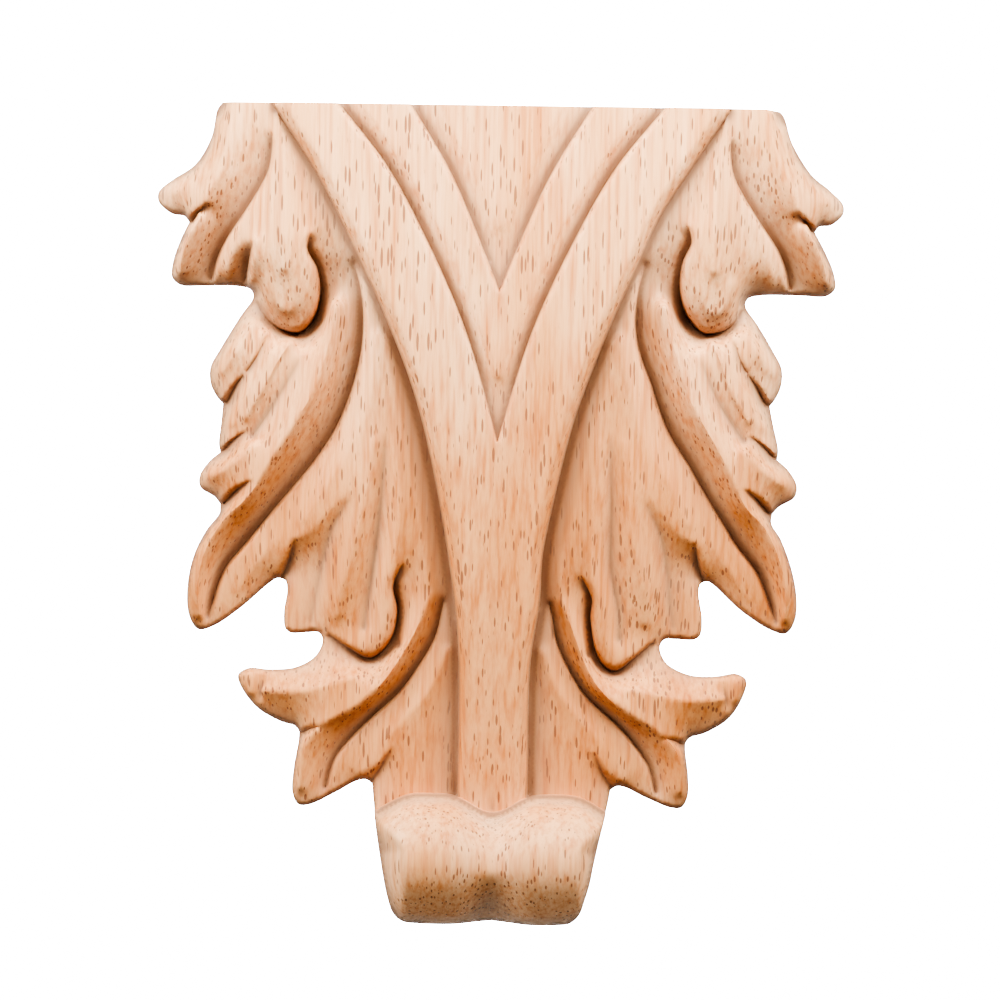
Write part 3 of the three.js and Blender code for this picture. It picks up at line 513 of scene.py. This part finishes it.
net = Net()
marks = np.array(sorted([row for line in lines for row in line if row[1] >= TOP], key=lambda r: r[0]))
top_edge = [left[0]]
for mark in list(marks) + [right[0]]:
    gap = mark[0] - top_edge[-1][0]
    if gap < LINE_REACH or right[0][0] - mark[0] < LINE_REACH and mark is not right[0]:
        continue
    for k in range(1, math.ceil(gap / LINE_SPACING)):
        top_edge.append(np.array([mark[0] - gap + gap * k / math.ceil(gap / LINE_SPACING), TOP, FREE]))
    top_edge.append(mark)
ring = np.vstack([top_edge, right[1:], left[-2:0:-1]])
for row in ring:
    net.add(row)
net.edges += [(k, (k + 1) % len(ring)) for k in range(len(ring))]

crest = np.linspace(-ROLL_HALF, ROLL_HALF, round(2 * ROLL_HALF / LINE_SPACING))
for lift in CREST_LINES:
    rows = np.column_stack([crest, roll_top(crest) + lift, np.full(len(crest), FREE)])
    rows = rows[within(rows[:, 0], rows[:, 1], ring[:, :2])]
    net.add_line(rows, CREST_REACH, LONGEST_ON_CREST)

for line in lines:
    line = line[(line[:, 1] < TOP) & (line[:, 1] > roll_top(line[:, 0]) + LEAF_GAP)]
    line = line[within(line[:, 0], line[:, 1], ring[:, :2])]
    net.add_line(line, LINE_REACH, LONGEST_ON_LINE)

rise = FIELD_SPACING * math.sqrt(3) / 2
half_width = max(right[:, 0].max(), left[:, 0].max(), -left[:, 0].min())
across = np.arange(-half_width, half_width, FIELD_SPACING)
down = np.arange(1, int(2 * TOP / rise))
x = (across[None, :] + (down[:, None] % 2) * FIELD_SPACING / 2).ravel()
z = np.repeat(TOP - down * rise, len(across))
inside = within(x, z, ring[:, :2])
for place in zip(x[inside], z[inside]):
    if net.near(*place, FIELD_REACH) is None:
        net.add((*place, FREE))

corners = [Vector(row[:2]) for row in net.rows]
plan, _, faces, origins, _, _ = delaunay_2d_cdt(corners, net.edges, [], FILL_INSIDE, SAME_PLACE)
plan = np.array([tuple(place) for place in plan])
faces = np.array(faces)
origin = np.array([made_from[0] if made_from else -1 for made_from in origins])
share = np.where(origin >= 0, np.array(net.rows)[origin, 2], FREE)
x, z = plan.T
a, b, c = (plan[faces[:, k]] for k in range(3))
turned = (b - a)[:, 0] * (c - a)[:, 1] - (b - a)[:, 1] * (c - a)[:, 0] < 0
faces[turned] = faces[turned][:, ::-1]
print("corners:", len(plan), "triangles:", len(faces))

# %% [markdown]
# Between the lines the wood is a stretched skin, like cloth pulled over the crests and down into
# the creases. Blending the nearest lines by hand would leave ridges where they change over. A skin
# is flat on balance everywhere, which is a large set of linear equations. They are solved by
# conjugate gradients, with the weights that finite elements give each edge.

# %% Heights of the carving
FIRST_SHARE = 0.7
SKIN_ROUNDS = 600
SLIVER = 1e-6
LEAST_WEIGHT, MOST_WEIGHT = 0.01, 10
NEVER_ZERO = 1e-9
CLOSE_ENOUGH = 1e-9


def edge_weights():
    """Each edge once with its weight, and for each corner a third of the area of its triangles."""
    pairs = []
    weights = []
    area = np.zeros(len(plan))
    for k in range(3):
        i, j, far = faces[:, k], faces[:, (k + 1) % 3], faces[:, (k + 2) % 3]
        u = plan[i] - plan[far]
        v = plan[j] - plan[far]
        cross = np.abs(u[:, 0] * v[:, 1] - u[:, 1] * v[:, 0])
        weights.append((u * v).sum(axis=1) / np.maximum(2 * cross, SLIVER))
        pairs.append(np.sort(np.column_stack([i, j]), axis=1))
        area += np.bincount(far, cross / 6, len(plan))
    edges, back = np.unique(np.vstack(pairs), axis=0, return_inverse=True)
    weight = np.bincount(back.ravel(), np.concatenate(weights), len(edges))
    return edges, np.clip(weight, LEAST_WEIGHT, MOST_WEIGHT), area


def stiffness(heights, edges, weight):
    """How hard the skin pulls each corner down."""
    pull = weight * (heights[edges[:, 0]] - heights[edges[:, 1]])
    return np.bincount(edges[:, 0], pull, len(heights)) - np.bincount(edges[:, 1], pull, len(heights))


def solve(heights, free, edges, weight, mass, rounds):
    """Finds the free heights h for which mass * (h - given h) balances the pull of the skin."""
    given = heights
    spread = mass + np.bincount(edges[:, 0], weight, len(heights))
    spread = np.maximum(spread + np.bincount(edges[:, 1], weight, len(heights)), NEVER_ZERO)
    rest = np.where(free, -stiffness(heights, edges, weight) - mass * (heights - given), 0)
    aim = rest / spread
    size = (rest * aim).sum()
    enough = size * CLOSE_ENOUGH
    for _ in range(rounds):
        if size <= enough:
            break
        push = np.where(free, stiffness(aim, edges, weight) + mass * aim, 0)
        stride = size / (aim * push).sum()
        heights = heights + stride * aim
        rest = rest - stride * push
        scaled = rest / spread
        last, size = size, (rest * scaled).sum()
        aim = scaled + (size / last) * aim
    return heights


edges, weight, area = edge_weights()
on_roll = (z < roll_top(x) + SAME_LEVEL) & (np.abs(x) < ROLL_PITCH)
fixed = ~np.isnan(share) & ~on_roll
heights = np.where(fixed, np.nan_to_num(share), FIRST_SHARE) * stem_standoff(z)
heights = np.where(on_roll, roll_standoff(x, z), heights)
same_form = on_roll[edges[:, 0]] == on_roll[edges[:, 1]]
leaf = same_form & ~on_roll[edges[:, 0]]
free = ~fixed & ~on_roll
heights = solve(heights, free, edges[leaf], weight[leaf], 0, SKIN_ROUNDS)
print("heights, mm:", heights.min().round(1), heights.max().round(1))

# %% [markdown]
# A finished carving has been sanded. Sandpaper takes off every edge that stands proud and never
# gets into a crease. A bevel would round both alike, so the carving is compared with a softened
# copy of itself and keeps whichever is lower. The crests come out round and the creases stay sharp.
# Last, the front edge of the sawn outline is rounded over, but not the cut top edge.

# %% Sanding
SANDING_REACH = 0.3
SANDING_LEFT = 0.05
SOFTENING = 0.09
ROUND_OVER = 0.9
SOFTENING_ROUNDS = 80


def softened(heights, reach):
    """The surface blurred over a distance in mm, with the roll and the leaf kept apart."""
    everywhere = np.ones(len(heights), bool)
    mass = area / (reach * reach)
    return solve(heights, everywhere, edges[same_form], weight[same_form], mass, SOFTENING_ROUNDS)


heights = np.minimum(heights, softened(heights, SANDING_REACH) + SANDING_LEFT)
heights = softened(heights, SOFTENING)


def distance_to_edge():
    """Distance of each corner to the sawn outline, without the cut top edge."""
    far_off = 2 * ROUND_OVER
    nearest = np.full(len(plan), far_off)
    sawn = np.vstack([ring[len(top_edge) - 1:], ring[:1]])[:, :2]
    for p, q in zip(sawn[:-1], sawn[1:]):
        close = np.nonzero(np.abs(plan - p).max(axis=1) < far_off)[0]
        part = np.clip((plan[close] - p) @ (q - p) / ((q - p) @ (q - p)), 0, 1)
        off = plan[close] - p - part[:, None] * (q - p)
        nearest[close] = np.minimum(nearest[close], np.hypot(off[:, 0], off[:, 1]))
    return nearest


inset = np.clip(1 - distance_to_edge() / ROUND_OVER, 0, 1)
heights = heights - ROUND_OVER * (1 - np.sqrt(1 - inset ** 2))
print("after sanding, mm:", heights.min().round(1), heights.max().round(1))

# %% [markdown]
# Two kinds of place on the carving are painted darker. Creases and hollows get painted shade, the
# shadow that falls into them. Steep slopes that look down get a darker tint that is partly real end
# grain, where the cut crosses the ends of the wood fibres, and partly painted shade of undersides
# that the light from above misses. They could be painted by hand, but all of them can be measured
# on the surface, so they are stored on its corners for the material to read.

# %% Painted shade of creases, hollows and undersides
CREASE_REACH = 0.55
CREASE_DEPTH = 0.22
HOLLOW_REACH = 2.4
HOLLOW_DEPTH = 1.2
END_GRAIN_SHADE_FROM, END_GRAIN_SHADE_FULL = 0.22, 0.85

# Painted shade: how far each corner lies below a softened copy of the surface, in creases and hollows.
crease_shade = np.clip((softened(heights, CREASE_REACH) - heights) / CREASE_DEPTH, 0, 1)
hollow = np.clip((softened(heights, HOLLOW_REACH) - heights) / HOLLOW_DEPTH, 0, 1)

solid = np.column_stack([plan, heights])
a, b, c = (solid[faces[:, k]] for k in range(3))
facing = np.cross(b - a, c - a)
normal = np.column_stack([
    sum(np.bincount(faces[:, k], facing[:, way], len(solid)) for k in range(3)) for way in range(3)])
normal /= np.linalg.norm(normal, axis=1, keepdims=True)
# Painted shade together with real end grain: a darker tint on steep slopes that look down, none on the roll.
end_grain_and_shade = np.where(on_roll, 0, smooth(END_GRAIN_SHADE_FROM, END_GRAIN_SHADE_FULL, -normal[:, 1]))
print("mean crease, hollow, end grain:", [round(float(v.mean()), 3) for v in (crease_shade, hollow, end_grain_and_shade)])

# %% [markdown]
# The board had a flat back, which lies on the wall. A solidify modifier would give a back with the
# same bumps as the front. So the outline is copied onto the wall plane, filled there, and joined to
# the front by the sawn edge. That closes the solid, and it fills the block of the CAD frame.

# %% Carving
SHARP_EDGE = 55.0

rim = np.array([int(np.nonzero(origin == k)[0][0]) for k in range(len(ring))])
low = plan.min(axis=0)
span = plan.max(axis=0) - low
front = np.empty((len(plan), 3))
front[:, 0] = block_low.x + (x - low[0]) / span[0] * (block_high.x - block_low.x)
front[:, 1] = block_high.y - heights / heights.max() * (block_high.y - block_low.y)
front[:, 2] = block_low.z + (z - low[1]) / span[1] * (block_high.z - block_low.z)
back = front[rim]
back[:, 1] = block_high.y
count = len(rim)
corners = [Vector((MM * p[0], MM * p[2])) for p in back]
_, _, back_faces, origins, _, _ = delaunay_2d_cdt(
    corners, [(k, (k + 1) % count) for k in range(count)], [], FILL_INSIDE, SAME_PLACE)
number = [made_from[0] for made_from in origins]
back_faces = np.array([[number[k] for k in face] for face in back_faces])
a, b, c = (back[back_faces[:, k]] for k in range(3))
turned = (b - a)[:, 0] * (c - a)[:, 2] - (b - a)[:, 2] * (c - a)[:, 0] > 0
back_faces[turned] = back_faces[turned][:, ::-1]
behind = len(front) + np.arange(count)
after = np.roll(rim, -1)
behind_after = np.roll(behind, -1)
edge_faces = np.vstack([
    np.column_stack([rim, after, behind_after]),
    np.column_stack([rim, behind_after, behind]),
])
all_faces = np.vstack([faces, back_faces + len(front), edge_faces])
mesh = bpy.data.meshes.new("applique_carving")
mesh.from_pydata(np.vstack([front, back]).tolist(), [], all_faces.tolist())
mesh.update()
for name, values in (("crease_shade", crease_shade), ("hollow", hollow), ("end_grain_and_shade", end_grain_and_shade)):
    stored = mesh.attributes.new(name, "FLOAT", "POINT")
    stored.data.foreach_set("value", np.concatenate([values, np.zeros(count)]))
carving = bpy.data.objects.new("applique_carving", mesh)
bpy.context.collection.objects.link(carving)
mesh.shade_smooth()
mesh.set_sharp_from_angle(angle=math.radians(SHARP_EDGE))
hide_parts(NODE)
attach(carving, "root")
print("triangles in all:", len(all_faces))

# %% [markdown]
# Bare rubberwood is pale peach with short reddish brown pores that lie along the grain. A picture
# wrapped round the carving would stretch on its steep sides. This pattern is solid, so it runs
# through the carving as real grain does: pores are dashes on faces that look forward and round dots
# where the gouge cut across the grain. One small helper adds each node of the material, and loops
# add the nodes that come in several sizes.

# %% Tools for materials
MULTIPLY = {"operation": "MULTIPLY"}
MULTIPLY_ADD = {"operation": "MULTIPLY_ADD"}
SUBTRACT = {"operation": "SUBTRACT"}
SOFT_STEP = {"interpolation_type": "SMOOTHSTEP"}
TINT = {"data_type": "RGBA", "blend_type": "MULTIPLY"}
COVER = {"data_type": "RGBA", "blend_type": "MIX"}
AMOUNT, UNDER, OVER = 0, 6, 7
MIXED = 2


def linear(code):
    """An sRGB hex colour as a linear colour."""
    parts = [int(code[k:k + 2], 16) / 255 for k in (1, 3, 5)]
    return [c / 12.92 if c <= 0.04045 else ((c + 0.055) / 1.055) ** 2.4 for c in parts] + [1]


def add(tree, kind, settings, inputs):
    """Adds a node with its settings, and gives its inputs a value or a link each."""
    node = tree.nodes.new(kind)
    for name, value in settings.items():
        setattr(node, name, value)
    for name, value in inputs.items():
        if isinstance(value, bpy.types.NodeSocket):
            tree.links.new(value, node.inputs[name])
        else:
            node.inputs[name].default_value = value
    return node


print("the light of a middle grey, from 0 to 1:", round(linear("#808080")[0], 3))

# %% [markdown]
# Wood grows in layers, and a board shows them as figure. Blender's wave texture could draw it as
# regular stripes, but this wood's figure is faint and uneven, so noise is stretched along the
# grain, which runs up the carving. Broad bands carry the growth of the tree, streaks and fibres the
# finer figure, and the crowd makes the pores lie thick in one place and thin in the next.

# %% Grain
PALE_WOOD = "#ebbb8f"
GRAIN_SIZES = {  # mm across the grain and along it
    "broad": (9.0, 90.0),
    "streak": (0.9, 26.0),
    "fibre": (0.22, 4.0),
    "crowd": (7.0, 40.0),
    "pores": (0.74, 5.6),
}
GRAIN_TINTS = [  # pattern, where it starts and is full, how strong, and the colour laid over
    ("broad", 0.3, 0.72, 1.0, "#ebd7bc"),
    ("streak", 0.42, 0.8, 0.9, "#dcb795"),
    ("fibre", 0.6, 0.3, 0.35, "#efd6c0"),
]
NOISE_DETAIL = 2.0

wood = bpy.data.materials.new("bare_rubberwood")
wood.use_nodes = True
tree = wood.node_tree
shader = tree.nodes["Principled BSDF"]
place = add(tree, "ShaderNodeTexCoord", {}, {}).outputs["Object"]

stretched = {}
for name, (across_grain, along_grain) in GRAIN_SIZES.items():
    scale = (MM / across_grain, MM / across_grain, MM / along_grain)
    stretched[name] = add(tree, "ShaderNodeMapping", {}, {"Vector": place, "Scale": scale}).outputs["Vector"]

noise = {}
for name in ("broad", "streak", "fibre", "crowd"):
    inputs = {"Vector": stretched[name], "Scale": 1.0, "Detail": NOISE_DETAIL}
    noise[name] = add(tree, "ShaderNodeTexNoise", {}, inputs).outputs["Fac"]

colour = linear(PALE_WOOD)
for name, start, full, strength, tint in GRAIN_TINTS:
    inputs = {"Value": noise[name], "From Min": start, "From Max": full, "To Max": strength}
    amount = add(tree, "ShaderNodeMapRange", {}, inputs).outputs["Result"]
    inputs = {AMOUNT: amount, UNDER: colour, OVER: linear(tint)}
    colour = add(tree, "ShaderNodeMix", TINT, inputs).outputs[MIXED]
print("grain patterns:", ", ".join(GRAIN_SIZES))

# %% [markdown]
# The lower half of the carving is tinted a warmer, darker tan, down to the scroll, which is as pale
# again as the top. Two soft steps on the level, multiplied, give that band. A colour ramp could do
# it too, but its stops aren't levels in metres.

# %% Warmer lower half
TAN = "#f3dec2"
TAN_FROM, TAN_FULL = 0.045, -0.005
TAN_END, TAN_FADES = -0.064, -0.052

level = add(tree, "ShaderNodeSeparateXYZ", {}, {"Vector": place}).outputs["Z"]
inputs = {"Value": level, "From Min": TAN_FROM, "From Max": TAN_FULL}
below = add(tree, "ShaderNodeMapRange", SOFT_STEP, inputs).outputs["Result"]
inputs = {"Value": level, "From Min": TAN_END, "From Max": TAN_FADES}
above = add(tree, "ShaderNodeMapRange", SOFT_STEP, inputs).outputs["Result"]
amount = add(tree, "ShaderNodeMath", MULTIPLY, {0: below, 1: above}).outputs["Value"]
inputs = {AMOUNT: amount, UNDER: colour, OVER: linear(TAN)}
colour = add(tree, "ShaderNodeMix", TINT, inputs).outputs[MIXED]
print("the tan is full between the levels, mm:", MM * TAN_FULL, "and", MM * TAN_FADES)

# %% [markdown]
# Open pores are what makes this wood known at a glance. Noise cut off at a level would give them
# ragged shapes, so each pore is a cell of a Voronoi pattern instead. The cell's own random number
# sets how large its pore is, and below a certain number it has none. The pore is filled where the
# distance to the middle of the cell is less than its size.

# %% Pores
PORE = "#845438"
PORE_LARGEST = 0.3
PORE_CROWDING = 0.5
PORE_RARITY = -0.17
PORE_EDGE = 12.0
PORE_STRENGTH = 0.8

cells = add(tree, "ShaderNodeTexVoronoi", {}, {"Vector": stretched["pores"], "Scale": 1.0})
chance = add(tree, "ShaderNodeSeparateColor", {}, {"Color": cells.outputs["Color"]}).outputs["Red"]
inputs = {0: noise["crowd"], 1: PORE_CROWDING, 2: PORE_RARITY}
size = add(tree, "ShaderNodeMath", MULTIPLY_ADD, inputs).outputs["Value"]
size = add(tree, "ShaderNodeMath", MULTIPLY_ADD, {0: chance, 1: PORE_LARGEST, 2: size}).outputs["Value"]
pore = add(tree, "ShaderNodeMath", SUBTRACT, {0: size, 1: cells.outputs["Distance"]}).outputs["Value"]
inputs = {"Value": pore, "From Min": 0.0, "From Max": 1 / PORE_EDGE}
pore = add(tree, "ShaderNodeMapRange", {}, inputs).outputs["Result"]
amount = add(tree, "ShaderNodeMath", MULTIPLY, {0: pore, 1: PORE_STRENGTH}).outputs["Value"]
inputs = {AMOUNT: amount, UNDER: colour, OVER: linear(PORE)}
colour = add(tree, "ShaderNodeMix", COVER, inputs).outputs[MIXED]
print("a pore cell is, mm:", GRAIN_SIZES["pores"])

# %% [markdown]
# The painted shade of creases, hollows and down-facing slopes now darkens the colour. On the slopes
# it is a tint, so the figure shows through it, and in creases and hollows it covers what lies under
# it. A faint bump gives the matt face of sanded wood its tooth, and the pores are small pits in it.
# Real pits would need many times the triangles and would look the same from here.

# %% Painted shade and finish
# Painted shade: darker colours laid over creases and hollows, and a tint on slopes that look down, partly
# for end grain.
SHADES = [  # what was measured, how strong, and the colour laid over
    ("end_grain_and_shade", 0.95, "#c0b2aa"),
    ("hollow", 0.42, "#b4997f"),
    ("crease_shade", 0.75, "#7e5b44"),
]
ROUGHNESS = 0.6
SPECULAR = 0.35
TOOTH = 0.25
TOOTH_STRENGTH = 0.35
TOOTH_DEPTH = 0.00012

for name, strength, shade in SHADES:
    depth = add(tree, "ShaderNodeAttribute", {"attribute_name": name}, {}).outputs["Fac"]
    amount = add(tree, "ShaderNodeMath", MULTIPLY, {0: depth, 1: strength}).outputs["Value"]
    blend = TINT if name == "end_grain_and_shade" else COVER
    inputs = {AMOUNT: amount, UNDER: colour, OVER: linear(shade)}
    colour = add(tree, "ShaderNodeMix", blend, inputs).outputs[MIXED]
tree.links.new(colour, shader.inputs["Base Color"])
shader.inputs["Roughness"].default_value = ROUGHNESS
shader.inputs["Specular IOR Level"].default_value = SPECULAR
tooth = add(tree, "ShaderNodeMath", MULTIPLY, {0: noise["fibre"], 1: TOOTH}).outputs["Value"]
tooth = add(tree, "ShaderNodeMath", SUBTRACT, {0: tooth, 1: pore}).outputs["Value"]
inputs = {"Height": tooth, "Strength": TOOTH_STRENGTH, "Distance": TOOTH_DEPTH}
bump = add(tree, "ShaderNodeBump", {}, inputs)
tree.links.new(bump.outputs["Normal"], shader.inputs["Normal"])
mesh.materials.append(wood)
print("wood nodes:", len(tree.nodes))

# %% [markdown]
# The photograph was taken in front of white paper with light from all round. Paper lit by lamps
# alone would come out grey beside such pale wood. It is made to glow for the camera only, so it
# comes out white and still throws no light on the carving from behind. It is clear on its own back,
# so that the back of the carving can be looked at as well.

# %% Studio
PAPER_SIZE = 4.0
PAPER_BEHIND = 0.30
PAPER_GLOW = 14.0
PAPER_COLOUR = "#f8f8f7"
PAPER_ROUGHNESS = 0.9
WHITE = "#ffffff"
TENT_LIGHT = 0.17
QUARTER_TURN = math.radians(90)

world = bpy.data.worlds.new("light_tent")
bpy.context.scene.world = world
world.use_nodes = True
tent = world.node_tree.nodes["Background"]
tent.inputs["Color"].default_value = linear(WHITE)
tent.inputs["Strength"].default_value = TENT_LIGHT

paper = bpy.data.materials.new("white_paper")
paper.use_nodes = True
paper_shader = paper.node_tree.nodes["Principled BSDF"]
paper_shader.inputs["Base Color"].default_value = linear(PAPER_COLOUR)
paper_shader.inputs["Roughness"].default_value = PAPER_ROUGHNESS
paper_shader.inputs["Emission Color"].default_value = linear(WHITE)
tree = paper.node_tree
seen = add(tree, "ShaderNodeLightPath", {}, {}).outputs["Is Camera Ray"]
glow = add(tree, "ShaderNodeMath", MULTIPLY, {0: seen, 1: PAPER_GLOW}).outputs["Value"]
tree.links.new(glow, paper_shader.inputs["Emission Strength"])
clear = add(tree, "ShaderNodeBsdfTransparent", {}, {}).outputs["BSDF"]
from_behind = add(tree, "ShaderNodeNewGeometry", {}, {}).outputs["Backfacing"]
sides = add(tree, "ShaderNodeMixShader", {}, {0: from_behind, 1: paper_shader.outputs["BSDF"], 2: clear})
tree.links.new(sides.outputs["Shader"], tree.nodes["Material Output"].inputs["Surface"])

behind_work = (0, PAPER_BEHIND, 0)
upright = (QUARTER_TURN, 0, 0)
bpy.ops.mesh.primitive_plane_add(size=PAPER_SIZE, location=behind_work, rotation=upright)
backdrop = bpy.context.object
backdrop.name = "backdrop"
backdrop.data.materials.append(paper)
backdrop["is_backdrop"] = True
print("paper behind the carving, mm:", MM * PAPER_BEHIND)

# %% [markdown]
# One large lamp would light the carving evenly and flatten it. Three soft lamps hang close above it
# instead, so the light falls off down the work and faces that look down go brown. Two narrow lamps
# at the sides draw the flutes, and a broad one from far below on the left keeps the undersides
# readable. A small lamp behind the middle lights nothing but the flat back. The camera cannot see
# any of them.

# %% Lamps
LAMPS = {  # place, width and height in metres, and power in watts
    "left_softbox": ((-0.19, -0.20, 0.25), (0.2, 0.12), 1.3),
    "right_softbox": ((0.19, -0.20, 0.25), (0.2, 0.12), 1.5),
    "top_softbox": ((0, -0.24, 0.25), (0.3, 0.12), 0.95),
    "left_side": ((-0.45, -0.20, 0.12), (0.1, 0.4), 1.7),
    "right_side": ((0.45, -0.20, 0.12), (0.1, 0.4), 1.4),
    "low_fill": ((-0.5, -0.9, -0.45), (0.5, 0.5), 2.4),
    "back_lamp": ((0.0, 0.28, 0.0), (0.06, 0.06), 1.1),
}


def softbox(name, location, size, power):
    """A lamp with a rectangular face that looks at the middle of the work."""
    lamp = bpy.data.lights.new(name, "AREA")
    lamp.shape = "RECTANGLE"
    lamp.size, lamp.size_y = size
    lamp.energy = power
    made = bpy.data.objects.new(name, lamp)
    bpy.context.collection.objects.link(made)
    made.visible_camera = False
    made.location = location
    made.rotation_euler = (-Vector(location)).to_track_quat("-Z", "Y").to_euler()


for name, (location, size, power) in LAMPS.items():
    softbox(name, location, size, power)
print("lamps, W:", sum(power for _, _, power in LAMPS.values()))

# %% [markdown]
# The camera stands three metres off, square to the wall, as the photograph shows no side of the
# work. A nearer camera would show the walls of the upper lobes. It is rolled by less than a degree,
# as the work hangs a little out of true in the photograph. The view transform sees as a film does:
# highlights turn pale and shadows keep a strong colour.

# %% Camera
CAMERA_PLACE = (0.0007, -3.008, 0.0032)
CAMERA_ROLL = -0.81
LENS = 535.0
SENSOR = 36.0

camera_data = bpy.data.cameras.new("camera")
camera_data.lens = LENS
camera_data.sensor_width = SENSOR
camera = bpy.data.objects.new("camera", camera_data)
bpy.context.collection.objects.link(camera)
camera.location = CAMERA_PLACE
camera.rotation_euler = (QUARTER_TURN, math.radians(CAMERA_ROLL), 0)
bpy.context.scene.camera = camera
bpy.context.scene.view_settings.view_transform = "AgX"
bpy.context.scene.view_settings.look = "AgX - High Contrast"
print("the picture is this wide at the wall, mm:", round(-MM * CAMERA_PLACE[1] * SENSOR / LENS, 1))

# %% [markdown]
# At the end the piece is measured, and its size is printed as the block's was at the start. The
# carving is built to fill that block and keep inside it.

# %% Size and finish
low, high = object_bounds()
print("size, mm:", [round(MM * v, 2) for v in Vector(high) - Vector(low)])
